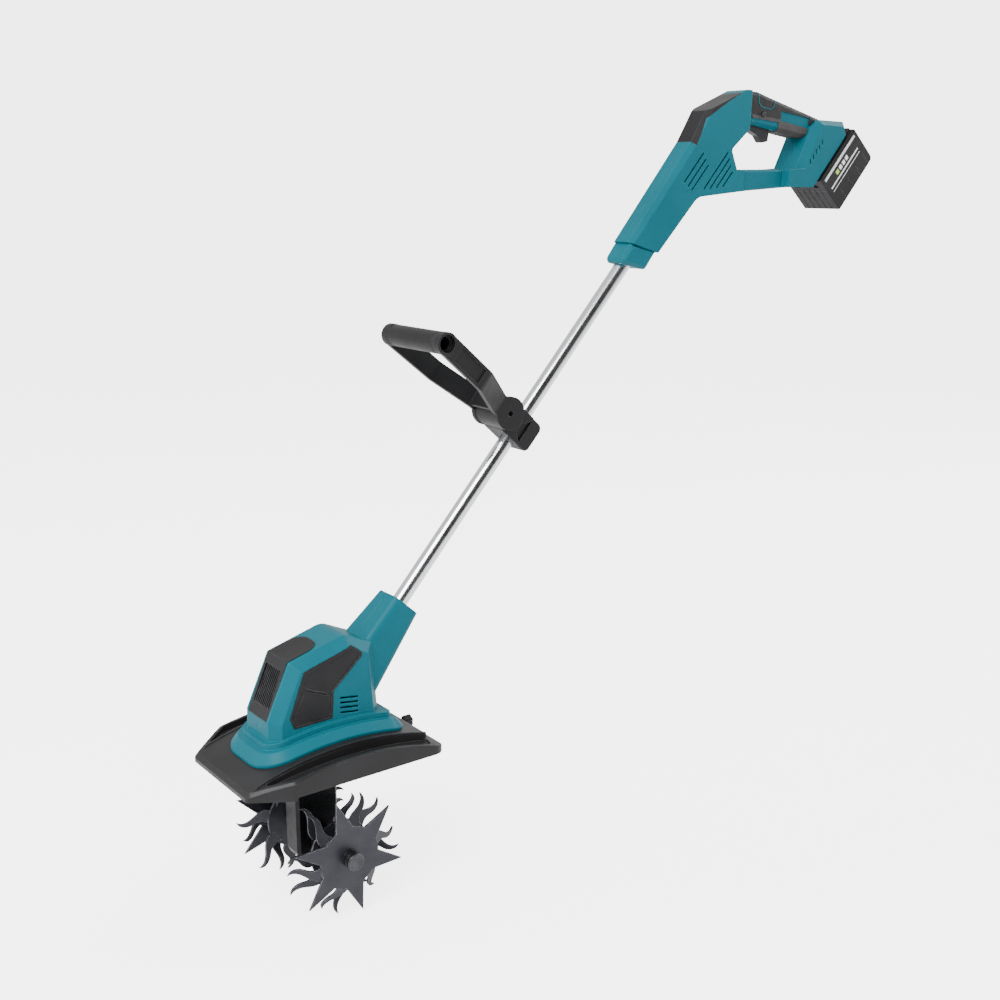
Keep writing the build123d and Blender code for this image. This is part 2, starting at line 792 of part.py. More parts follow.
def column(shrink=0.0):
    """The socket that the tube goes into: it widens towards the housing."""
    sections = []
    for s in (-45.0, 145.0 if shrink == 0 else 92.0):
        reach = 145.0 - s
        high = 24.0 + 0.055 * reach - shrink
        low = 25.5 + 0.09 * reach - shrink
        half = 25.5 + 0.085 * reach - shrink
        face = Pos(0, (high - low) / 2) * RectangleRounded(2 * half, high + low, 12.0)
        plane = Plane(origin=(*on_tube_3d(s, 0),), x_dir=(0, 1, 0), z_dir=(-COS, 0, SIN))
        sections.append(plane * face)
    return loft(sections)


def skirt_outline(inset):
    points = [
        (108.0 - inset, -66.0 + inset),
        (108.0 - inset, 66.0 - inset),
        (-113.0 + inset, 66.0 - inset),
        (-113.0 + inset, -66.0 + inset),
    ]
    return outline(points, {0: 44.0 - inset, 1: 44.0 - inset, 2: 26.0 - inset, 3: 26.0 - inset})


def skirt(shrink=0.0):
    """The flared foot of the housing, which sits on the guard's arch."""
    tall = Pos(0, 0, 100) * extrude(skirt_outline(shrink), amount=120)
    layer = tall & crown(14.0 - shrink)
    above = CROWN_TOP - 37
    rim = [e for e in layer.edges() if e.bounding_box().min.Z > above and on_top(e, 14.0 - shrink)]
    layer = chamfer(rim, 10.0)
    step = Pos(0, 0, 100) * extrude(skirt_outline(17.0 + shrink), amount=140)
    step &= crown(22.0 - shrink)
    return layer + step


def on_top(edge, lift):
    """Whether an edge lies in the arched surface raised by lift."""
    point = edge @ 0.5
    radius = math.hypot(point.X - CROWN_X, point.Z - (CROWN_TOP - CROWN_RADIUS))
    return abs(radius - CROWN_RADIUS - lift) < 0.05


def panel_outline(inset=0.0):
    points = [
        (34.5 - inset, 257.0 - inset * 1.3),
        (-39.0 + inset * 0.5, 278.5 - inset * 1.2),
        (-56.5 + inset, 263.5),
        (-9.0 + inset, 221.5 - inset * 0.3),
        (-6.0 + inset, 182.5 + inset),
        (51.5 - inset, 181.0 + inset),
        (57.5 - inset, 197.0),
    ]
    return outline(points, {1: 3.0, 2: 5.0})


def side_slots():
    cuts = []
    for index in range(4):
        z = 206.5 - 6.9 * index
        cuts.append(Pos(-32.0, 0, z) * Rot(0, -8, 0) * Box(28.0, 110, 2.6))
    return cuts


def grille_band(out, depth):
    """The strip that runs up the front face and over the top, out proud and depth deep."""
    points = [
        (81.8 + out, 193.0),
        (49.2 + out, 268.5 + out),
        (0.0, 282.3 + out),
        (0.0, 282.3 - depth),
        (46.0 - depth, 269.0 - depth),
        (77.0 - depth, 193.0),
    ]
    return slab(outline(points), GRILLE_HALF)


def grille_plan():
    """Seen from above: square at the front, round at the rear of its tongue."""
    points = [(120.0, -GRILLE_HALF), (120.0, GRILLE_HALF), (0.0, GRILLE_HALF), (0.0, -GRILLE_HALF)]
    return Pos(0, 0, 150) * extrude(outline(points, {2: 20.0, 3: 20.0}), amount=200)


FRONT_LEAN = math.degrees(math.atan2(82.5 - 49.0, 268.5 - 195.0))


def grille_window():
    middle = Pos(64.5, 0, 232.0) * Rot(0, -FRONT_LEAN, 0)
    return middle * Box(40, 43, 52)


def vent_grille():
    part = grille_band(1.0, 6.0) & grille_plan()
    part = chamfer(side_edges(part, GRILLE_HALF, lambda x, z: x > 50 and z > 196), 1.0)
    part -= grille_window()
    for index in range(GRILLE_FINS):
        y = FIN_SPACING * (index - (GRILLE_FINS - 1) / 2)
        fin = Pos(64.5, y, 232.0) * Rot(0, -FRONT_LEAN, 0) * Pos(-2.6, 0, 0) * Box(7.0, 1.4, 53.0)
        part += fin
    return part


def motor_shell_parts():
    outside = hump() + column() + skirt()
    outside -= crown(0.0)
    inside = hump(WALL) + skirt(WALL) + column(WALL)
    inside -= crown(WALL)
    shell = outside - inside
    shell -= tube_rod(TUBE_RADIUS, TUBE_START, 200)
    shell -= grille_band(8.0, 6.0) & grille_plan()
    shell -= grille_window()
    recess = slab_between(panel_outline(), HUMP_HALF - PANEL_DEPTH, HUMP_HALF + 5)
    shell -= recess
    shell -= mirror(recess, about=Plane.XZ)
    for side in (-1, 1):
        low = HUMP_HALF - PANEL_DEPTH - 2.0
        backing = slab_between(panel_outline(-2.0), low, HUMP_HALF - PANEL_DEPTH)
        backing &= hump()
        shell += backing if side > 0 else mirror(backing, about=Plane.XZ)
    for cut in side_slots():
        shell -= cut
    shell -= leg_outline_solid(0.3)
    for x, y in guard_screw_spots():
        shell += upright(5.5, x, y, 120, 166) & outside
        shell -= upright(2.55, x, y, 120, crown_height(x) + 8.5)
    for x, z in motor_screw_spots():
        shell += cross_rod(5.0, x, z, -38.0, 38.0) & outside
        shell -= cross_rod(SCREW_HOLE, x, z, -60, 8)
        shell -= cross_rod(SCREW_HEAD_HOLE, x, z, -80, -22.0)
    shell -= tube_screw_cut(116.0, 60)
    left, right = halves(shell)
    add("motor_shell_left", left)
    add("motor_shell_right", right)
    add("vent_grille", vent_grille())
    panel = side_panel()
    add("side_panel_left", panel)
    add("side_panel_right", mirror(panel, about=Plane.XZ))
    screws = [screw(x, z, -22.0, 28.0) for x, z in motor_screw_spots()]
    add("housing_screws", Compound(screws))


def motor_screw_spots():
    return ((-72.0, 190.0), (-62.0, 256.0), (70.0, 184.0))


def side_panel():
    """A black panel let into the housing's side, with a raised rim and a folded face."""
    low = HUMP_HALF - PANEL_DEPTH
    plate = slab_between(panel_outline(0.3), low, low + 2.2)
    rim = slab_between(panel_outline(0.3), low + 2.2, HUMP_HALF + 0.4)
    rim -= slab_between(panel_outline(3.2), low, HUMP_HALF + 2)
    fold = slab_between(
        outline([(32.0, 233.0), (3.0, 221.0), (-3.0, 214.0), (-2.0, 186.5), (46.0, 186.0), (51.0, 198.0)]),
        low + 2.2,
        low + 3.0,
    )
    crease = Pos(18.0, HUMP_HALF, 225.0) * Rot(0, -23, 0) * Box(32.0, 4.4, 1.6)
    return plate + rim + fold - crease


# ---------------------------------------------------------------- guard


def guard_plan(inset=0.0):
    front = 141.0 - inset
    half = GUARD_HALF - inset
    points = [
        (front, -79.0 + inset * 0.6),
        (front, 79.0 - inset * 0.6),
        (88.0 - inset * 0.3, half),
        (GUARD_REAR + inset, half - 3.0),
        (GUARD_REAR + inset, 3.0 - half),
        (88.0 - inset * 0.3, -half),
    ]
    return outline(points, {0: 10, 1: 10, 2: 10, 3: 18, 4: 18, 5: 10})


def channel_plan():
    """The sunk channel along one side of the guard, between its rib and its outer lip."""
    points = [(123.0, 80.0), (84.0, 105.5), (-124.0, 105.0), (CROWN_REAR, 79.0)]
    return outline(points, {0: 4, 1: 10, 2: 12, 3: 5})


def channel_floor(drop=0.0):
    """The solid under the channels' floor, whose arch is flatter than the guard's top."""
    centre_z = CROWN_TOP - CHANNEL_DEPTH - drop - CHANNEL_RADIUS
    return cross_rod(CHANNEL_RADIUS, CROWN_X, centre_z, -130, 130)


def guard():
    tall = Pos(0, 0, 90) * extrude(guard_plan(), amount=120)
    body = tall & crown(0.0)
    body -= block(-200, 200, -150, 150, 0, 116.5)
    body -= block(-200, 86, -150, 150, 0, 121.0)
    rim = [e for e in body.edges() if on_top(e, 0.0)]
    body = chamfer(rim, 4.5)
    hollow = Pos(0, 0, 60) * extrude(guard_plan(GUARD_WALL), amount=150)
    hollow &= crown(-GUARD_WALL)
    lip_top = Pos(LIP_SHIFT, 0, 0) * crown(-LIP_DROP)
    body -= block(-200, CROWN_REAR, -130, 130, 100, 200) - lip_top
    hollow -= block(-200, CROWN_REAR + GUARD_WALL, -130, 130, 60, 200) - Pos(0, 0, -GUARD_WALL) * lip_top
    for side in (-1, 1):
        channel = Pos(0, 0, 90) * extrude(channel_plan(), amount=120)
        bottom = Pos(0, 0, 80) * extrude(offset(channel_plan(), GUARD_WALL), amount=140)
        lip = block(-200, 150, CROWN_HALF, 130, 100, 200)
        if side < 0:
            channel = mirror(channel, about=Plane.XZ)
            bottom = mirror(bottom, about=Plane.XZ)
            lip = mirror(lip, about=Plane.XZ)
        body -= channel - channel_floor()
        body -= lip - lip_top
        hollow -= bottom - channel_floor(GUARD_WALL)
    body -= hollow
    for side in (-1, 1):
        body += guard_rib(side)
    body -= leg_outline_solid(0.3)
    for x, y in guard_screw_spots():
        body -= upright(2.6, x, y, 100, 200)
    body -= guard_knob_hole()
    return body


def guard_rib(side):
    """The low rib beside the channel."""
    strip = block(CROWN_REAR, 126, CROWN_HALF - 2.8, CROWN_HALF, 120, 180)
    strip = strip & crown(1.4)
    strip -= crown(-2.0)
    return strip if side > 0 else mirror(strip, about=Plane.XZ)


def guard_screw_spots():
    return ((60.0, 30.0), (60.0, -30.0), (-62.0, 30.0), (-62.0, -30.0))


def guard_screws():
    screws = []
    for x, y in guard_screw_spots():
        top = crown_height(x) + 8
        low = crown_height(x) - GUARD_WALL - 1.1
        pin = upright(2.5, x, y, low, top) + upright(5.0, x, y, low - 3.2, low)
        screws.append(pin - Pos(x, y, low - 3.2) * hex_prism(2.2, 4))
    return Compound(screws)


def crown_height(x):
    return CROWN_TOP - CROWN_RADIUS + math.sqrt(CROWN_RADIUS**2 - (x - CROWN_X) ** 2)


KNOB_Z = 127.5
KNOB_AXIS = Plane(origin=(GUARD_REAR, 0, KNOB_Z), x_dir=(0, 1, 0), z_dir=(-1, 0, 0))


def guard_knob_hole():
    return KNOB_AXIS.location * Cylinder(3.05, 30)


def guard_knob():
    """A thumb screw in the guard's rear skirt."""
    knob = Pos(0, 0, 6.0) * Cylinder(8.5, 10)
    for index in range(6):
        knob -= Rot(0, 0, 60 * index) * Pos(10.2, 0, 6.0) * Cylinder(3.0, 12)
    knob += Pos(0, 0, 0.6) * Cylinder(6.0, 1.0)
    knob += Pos(0, 0, -5.0) * Cylinder(3.0, 12)
    return KNOB_AXIS.location * knob


# ---------------------------------------------------------------- gear leg


def leg_outline(grow=0.0):
    points = [
        (-25.0 - grow, 172.0),
        (-25.0 - grow, -11.0),
        (-11.0, -25.0 - grow),
        (34.0, -25.0 - grow),
        (39.0 + grow, -14.0),
        (39.0 + grow, 172.0),
    ]
    return outline(points, {1: 8.0, 2: 8.0, 3: 5.0, 4: 6.0})


def leg_outline_solid(grow=0.0):
    return slab(leg_outline(grow), LEG_HALF + grow)


def leg_cavity():
    """Space for the worm, the wheel, the drive shaft and its bearings."""
    space = cross_rod(WHEEL_SPACE, 0, 0, -6.2, 6.2)
    space += upright(9.0, WORM_X, 0, -16, 150)
    space += upright(8.0, WORM_X, 0, -21, -15)
    space += upright(11.0, WORM_X, 0, 150, 158)
    space += upright(5.2, WORM_X, 0, 157, 173)
    space += cross_rod(9.0, 0, 0, -BOSS_HALF - 1, BOSS_HALF + 1)
    return space


def gearcase_parts():
    leg = leg_outline_solid()
    leg = chamfer(side_edges(leg, LEG_HALF, lambda x, z: z < 168), 4.0)
    plate = block(-28, 52, -26, 26, 160.05, 172)
    boss = cross_rod(19.0, 0, 0, -BOSS_HALF, BOSS_HALF)
    boss = chamfer(boss.edges(), 2.0)
    case = leg + plate + boss - leg_cavity()
    for x, z in gearcase_screw_spots():
        case -= cross_rod(1.8, x, z, -30, 12)
        case -= cross_rod(3.6, x, z, -40, -LEG_HALF + 4.0)
    for x in (WORM_X - 22, WORM_X + 22):
        case -= upright(1.6, x, 0, 160, 180)
    left, right = halves(case)
    add("gearcase_left", left)
    add("gearcase_right", right)
    screws = [
        screw(x, z, -LEG_HALF + 4.0, 24.0, 1.7, 3.2, 2.2) for x, z in gearcase_screw_spots()
    ]
    add("gearcase_screws", Compound(screws))


def gearcase_screw_spots():
    return ((-15.0, 30.0), (-15.0, 90.0), (8.0, 130.0))


def axle_bushings():
    bushes = []
    for low, high in ((10.0, 20.5), (-20.5, -10.0)):
        bush = cross_rod(9.0, 0, 0, low, high) - cross_rod(AXLE_RADIUS + 0.05, 0, 0, -40, 40)
        bushes.append(bush)
    return Compound(bushes)


def axle_seals():
    seals = []
    for low, high in ((20.5, 24.5), (-24.5, -20.5)):
        seal = cross_rod(9.0, 0, 0, low, high) - cross_rod(AXLE_RADIUS + 0.08, 0, 0, -40, 40)
        seals.append(seal)
    return Compound(seals)


# ---------------------------------------------------------------- motor and worm

SHAFT_RADIUS = 4.0
CAN_LOW = 172.0
CAN_HIGH = 240.0
CAN_RADIUS = 21.0
PITCH = math.pi * MODULE


def shaft_bearings():
    low = Pos(WORM_X, 0, -18.0) * (Cylinder(8.0, 6.0) - Cylinder(SHAFT_RADIUS + 0.05, 8))
    high = Pos(WORM_X, 0, 154.0) * (Cylinder(11.0, 7.6) - Cylinder(SHAFT_RADIUS + 0.05, 9))
    return Compound([low, high])


def motor_can():
    can = upright(CAN_RADIUS, WORM_X, 0, CAN_LOW, CAN_HIGH)
    can -= upright(CAN_RADIUS - 1.6, WORM_X, 0, CAN_LOW + 2, CAN_HIGH - 2)
    can += upright(7.0, WORM_X, 0, CAN_HIGH, CAN_HIGH + 4)
    can -= upright(SHAFT_RADIUS + 0.06, WORM_X, 0, CAN_LOW - 1, CAN_HIGH + 2)
    for angle in range(0, 360, 90):
        vent = Pos(WORM_X, 0, CAN_HIGH - 12) * Rot(0, 0, angle + 45) * Pos(CAN_RADIUS, 0, 0)
        can -= vent * Box(8, 9, 5)
    return can


def motor_magnets():
    shells = []
    ring = upright(CAN_RADIUS - 1.6, WORM_X, 0, CAN_LOW + 10, CAN_HIGH - 20)
    ring -= upright(CAN_RADIUS - 5.0, WORM_X, 0, CAN_LOW, CAN_HIGH)
    for side in (-1, 1):
        keep = Pos(WORM_X + side * 30, 0, 200) * Box(60 - 8, 60, 100)
        shells.append(ring & keep)
    return Compound(shells)


def rotor_core():
    """The wound core and its commutator, pressed on the shaft."""
    core = upright(15.2, WORM_X, 0, CAN_LOW + 12, CAN_HIGH - 22)
    for index in range(8):
        turn = Pos(WORM_X, 0, 200) * Rot(0, 0, 45 * index) * Pos(14.0, 0, 0)
        core -= turn * Box(5.0, 2.0, 60)
    core += upright(7.5, WORM_X, 0, CAN_HIGH - 22, CAN_HIGH - 8)
    return core - upright(SHAFT_RADIUS, WORM_X, 0, CAN_LOW, CAN_HIGH)


def worm_shaft():
    shaft = upright(SHAFT_RADIUS, WORM_X, 0, -20.5, CAN_HIGH + 1.5)
    root = WORM_PITCH_RADIUS - DEDENDUM
    tip = WORM_PITCH_RADIUS + ADDENDUM
    half_length = PITCH * WORM_TURNS / 2
    shaft += upright(root, WORM_X, 0, -half_length - 1.2, half_length + 1.2)
    slope = math.tan(math.radians(PRESSURE_ANGLE))
    half_pitch_width = (PITCH / 2 - BACKLASH / 2) / 2
    sunk = root - 0.4
    half_root = half_pitch_width + (WORM_PITCH_RADIUS - sunk) * slope
    half_tip = half_pitch_width - ADDENDUM * slope
    start = -half_length
    path = Helix(pitch=PITCH, height=2 * half_length, radius=WORM_PITCH_RADIUS, center=(0, 0, start))
    tooth = Plane.XZ * Polygon(
        (sunk, start - half_root),
        (sunk, start + half_root),
        (tip, start + half_tip),
        (tip, start - half_tip),
        align=None,
    )
    thread = sweep(tooth, path=path, is_frenet=True)
    return shaft + Pos(WORM_X, 0, 0) * thread


def wheel_tooth_points(turn):
    """Involute teeth with a gap facing +X, as one closed outline turned by an angle."""
    pitch_radius = MODULE * WHEEL_TEETH / 2
    base = pitch_radius * math.cos(math.radians(PRESSURE_ANGLE))
    root = pitch_radius - DEDENDUM
    tip = pitch_radius + ADDENDUM
    spread = math.tan(math.radians(PRESSURE_ANGLE)) - math.radians(PRESSURE_ANGLE)
    half_angle = (PITCH / 2 - BACKLASH / 2) / 2 / pitch_radius
    flank = [(root, half_angle + spread)]
    for radius in (base + 0.05, pitch_radius, tip):
        pressure = math.acos(base / radius)
        flank.append((radius, half_angle + spread - (math.tan(pressure) - pressure)))
    points = []
    for tooth in range(WHEEL_TEETH):
        middle = 2 * math.pi * (tooth + 0.5) / WHEEL_TEETH + turn
        for radius, angle in flank:
            points.append((radius * math.cos(middle - angle), radius * math.sin(middle - angle)))
        for radius, angle in reversed(flank):
            points.append((radius * math.cos(middle + angle), radius * math.sin(middle + angle)))
    return points


def worm_wheel():
    """Its teeth lean to follow the worm's thread. Outline angles run from +X towards +Z."""
    pitch_radius = MODULE * WHEEL_TEETH / 2
    lead = PITCH / (2 * math.pi * WORM_PITCH_RADIUS)
    twist = lead * (WHEEL_FACE / 2) / pitch_radius
    start = Pos(0, -WHEEL_FACE / 2, 0) * (SIDE * Polygon(*wheel_tooth_points(twist), align=None)).face()
    wheel = Solid.extrude_linear_with_rotation(
        start, center=(0, -WHEEL_FACE / 2, 0), normal=(0, WHEEL_FACE, 0), angle=math.degrees(2 * twist)
    )
    return wheel - cross_rod(AXLE_RADIUS, 0, 0, -20, 20) - key_slot()


def key_slot():
    return block(-1.5, 1.5, -WHEEL_FACE / 2, WHEEL_FACE / 2, 3.6, 7.6)


def drive_key():
    return key_slot()


# ---------------------------------------------------------------- tine axle


def tine_axle():
    shaft = cross_rod(AXLE_RADIUS, 0, 0, -AXLE_HALF, AXLE_HALF)
    shaft = chamfer(shaft.edges(), 1.0)
    for y in (-PIN_Y, PIN_Y):
        shaft -= Pos(0, y, 0) * Cylinder(PIN_RADIUS, 30)
    return shaft - key_slot()


def hub(side):
    """The tube that carries one pair of discs, with a collar against each."""
    inner = BOSS_HALF + 0.6
    body = cross_rod(HUB_RADIUS, 0, 0, inner, DISC_OUTER_Y)
    body += cross_rod(14.0, 0, 0, inner, inner + 5)
    for low, high in (
        (DISC_INNER_Y - 5, DISC_INNER_Y),
        (DISC_INNER_Y + DISC_THICKNESS, DISC_INNER_Y + DISC_THICKNESS + 4),
        (DISC_OUTER_Y - DISC_THICKNESS - 4, DISC_OUTER_Y - DISC_THICKNESS),
    ):
        body += cross_rod(COLLAR_RADIUS, 0, 0, low, high)
    cap = cross_rod(12.5, 0, 0, DISC_OUTER_Y, AXLE_HALF + 2)
    body += chamfer(cap.edges().group_by(Axis.Y)[-1], 1.2)
    for y in (93.0, 99.5, 102.5):
        ring = cross_rod(14.0, 0, 0, y - 0.6, y + 0.6)
        body -= ring - cross_rod(11.2, 0, 0, y - 1, y + 1)
    body -= cross_rod(AXLE_RADIUS, 0, 0, 0, AXLE_HALF)
    body -= Pos(0, PIN_Y, 0) * Cylinder(PIN_RADIUS, 23)
    return body if side > 0 else mirror(body, about=Plane.XZ)


def leaned(tine, root, lean):
    """Bend a tine sideways about a line across its root."""
    return Pos(root, 0, 0) * Rot(0, lean, 0) * Pos(-root, 0, 0) * tine


def spike(length, half_width, sweep_side=5.0):
    """A flat triangular tine, drawn pointing along +X and swept a little to one side."""
    points = [
        (30.0, -half_width),
        (DISC_ROOT_RADIUS - 4, -half_width),
        (length, sweep_side),
        (DISC_ROOT_RADIUS - 4, half_width),
        (30.0, half_width),
    ]
    return extrude(outline(points), amount=DISC_THICKNESS / 2, both=True)


def wavy_tine(lean):
    """A tine with S-shaped edges, bent sideways at its root."""
    root = DISC_ROOT_RADIUS - 7
    length = DISC_TIP_RADIUS - root + 3
    sides = []
    for width in (10.5, -10.5):
        points = []
        for step in range(6):
            along = step / 5
            curl = 6.5 * math.sin(2 * math.pi * along * 0.95)
            points.append((root + length * along, curl + width * (1 - along) ** 0.85))
        sides.append(points)
    edges = [Spline(*sides[0]), Spline(*sides[1]), Line(sides[1][0], sides[0][0])]
    tip = extrude(make_face(edges), amount=DISC_THICKNESS / 2, both=True)
    foot = Pos(root - 6, 0, 0) * Box(16, 21, DISC_THICKNESS)
    return leaned(tip, root, lean) + foot


def spiked_disc(phase):
    """An outer disc: flat spikes with curled tines between them, which lean to -Z."""
    disc = Cylinder(DISC_ROOT_RADIUS, DISC_THICKNESS)
    step = 360 / SPIKE_PAIRS
    for index in range(SPIKE_PAIRS):
        disc += Rot(0, 0, phase + step * index) * spike(DISC_TIP_RADIUS, 14.0)
        disc += Rot(0, 0, phase + step * (index + 0.5)) * wavy_tine(TINE_BEND)
    return disc - Cylinder(HUB_RADIUS, DISC_THICKNESS * 3)


def wavy_disc(phase):
    """An inner disc: curled tines that lean to either side in turn."""
    disc = Cylinder(DISC_ROOT_RADIUS, DISC_THICKNESS)
    step = 360 / WAVY_TINES
    for index in range(WAVY_TINES):
        lean = WAVY_BEND if index % 2 else -WAVY_BEND
        disc += Rot(0, 0, phase + step * index) * wavy_tine(lean)
    return disc - Cylinder(HUB_RADIUS, DISC_THICKNESS * 3)


def stood_up(disc, y, side):
    """Stand a disc up on the axle, the side that faced +Z towards the machine's outside."""
    return Pos(0, y, 0) * Rot(-90 * side, 0, 0) * disc


def axle_parts():
    half = DISC_THICKNESS / 2
    add("tine_axle", tine_axle())
    add("worm_wheel", worm_wheel())
    add("drive_key", drive_key())
    add("hub_left", hub(1))
    add("hub_right", hub(-1))
    for side, name in ((1, "left"), (-1, "right")):
        outer = spiked_disc(-SPIKE_PHASE * side)
        inner = wavy_disc(-WAVY_PHASE * side)
        add(f"star_disc_{name}_outer", stood_up(outer, side * (DISC_OUTER_Y - half), side))
        add(f"star_disc_{name}_inner", stood_up(inner, side * (DISC_INNER_Y + half), side))
    add("axle_pins", Compound([Pos(0, y, 0) * Cylinder(PIN_RADIUS, 23) for y in (-PIN_Y, PIN_Y)]))


def build():
    add("main_tube", main_tube())
    add("wiring_cable", wiring_cable())
    handle_parts()
    grip_covers()
    control_parts()
    add("terminal_block", terminal_block())
    add("terminal_blades", terminal_blades())
    battery_parts()
    clamp_parts()
    aux_handle_parts()
    motor_shell_parts()
    add("guard", guard())
    add("guard_screws", guard_screws())
    add("guard_knob", guard_knob())
    gearcase_parts()
    add("axle_bushings", axle_bushings())
    add("axle_seals", axle_seals())
    add("shaft_bearings", shaft_bearings())
    add("motor_can", motor_can())
    add("motor_magnets", motor_magnets())
    add("rotor_core", rotor_core())
    add("worm_shaft", worm_shaft())
    axle_parts()
    add("tube_screws", tube_screws())


build()
for name, shape in FRAME.items():
    export_step(shape, f"parts/{name}.step")
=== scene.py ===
import json
import math
import random

import bmesh
import bpy
from mathutils import Matrix, Vector


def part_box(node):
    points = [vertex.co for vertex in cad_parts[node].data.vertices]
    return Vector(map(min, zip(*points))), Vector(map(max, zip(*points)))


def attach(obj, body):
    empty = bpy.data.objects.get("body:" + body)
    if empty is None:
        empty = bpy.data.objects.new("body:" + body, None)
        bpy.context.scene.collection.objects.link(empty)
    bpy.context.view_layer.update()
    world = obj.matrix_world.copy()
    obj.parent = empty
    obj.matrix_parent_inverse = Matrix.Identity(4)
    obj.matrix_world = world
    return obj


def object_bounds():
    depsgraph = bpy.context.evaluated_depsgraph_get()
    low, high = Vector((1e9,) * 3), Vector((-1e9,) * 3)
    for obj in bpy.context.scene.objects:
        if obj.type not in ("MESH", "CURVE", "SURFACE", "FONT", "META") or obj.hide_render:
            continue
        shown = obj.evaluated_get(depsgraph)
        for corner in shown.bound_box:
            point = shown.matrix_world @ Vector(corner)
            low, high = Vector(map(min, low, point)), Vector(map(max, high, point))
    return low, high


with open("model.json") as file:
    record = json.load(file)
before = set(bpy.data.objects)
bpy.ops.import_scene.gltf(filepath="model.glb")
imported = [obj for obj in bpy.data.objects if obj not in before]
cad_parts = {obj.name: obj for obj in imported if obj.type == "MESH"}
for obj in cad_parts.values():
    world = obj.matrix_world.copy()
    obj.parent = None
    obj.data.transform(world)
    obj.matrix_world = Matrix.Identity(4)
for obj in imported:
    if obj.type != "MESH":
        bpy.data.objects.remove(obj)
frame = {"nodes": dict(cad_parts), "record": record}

CAD_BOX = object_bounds()
random.seed(7)

# ---------------------------------------------------------------- places, from the CAD

axle_low, axle_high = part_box("tine_axle")
AX = (axle_low.x + axle_high.x) / 2
AZ = (axle_low.z + axle_high.z) / 2

# The tube's slope, and where its middle line starts, as (x, z) from the axle in millimetres.
TUBE_ANGLE = math.radians(48.0)
COS, SIN = math.cos(TUBE_ANGLE), math.sin(TUBE_ANGLE)
FOOT = (-43.8, 200.0)


def at(x, y, z):
    """A point given in millimetres from the middle of the tine axle, in the frame, in metres."""
    return Vector((AX + x / 1000, y / 1000, AZ + z / 1000))


def on_tube(s, n, y=0.0):
    """A point s along the tube, n to its upper side and y to the left, all in millimetres."""
    x = FOOT[0] - s * COS + n * SIN
    z = FOOT[1] + s * SIN + n * COS
    return at(x, y, z)


# ---------------------------------------------------------------- node materials


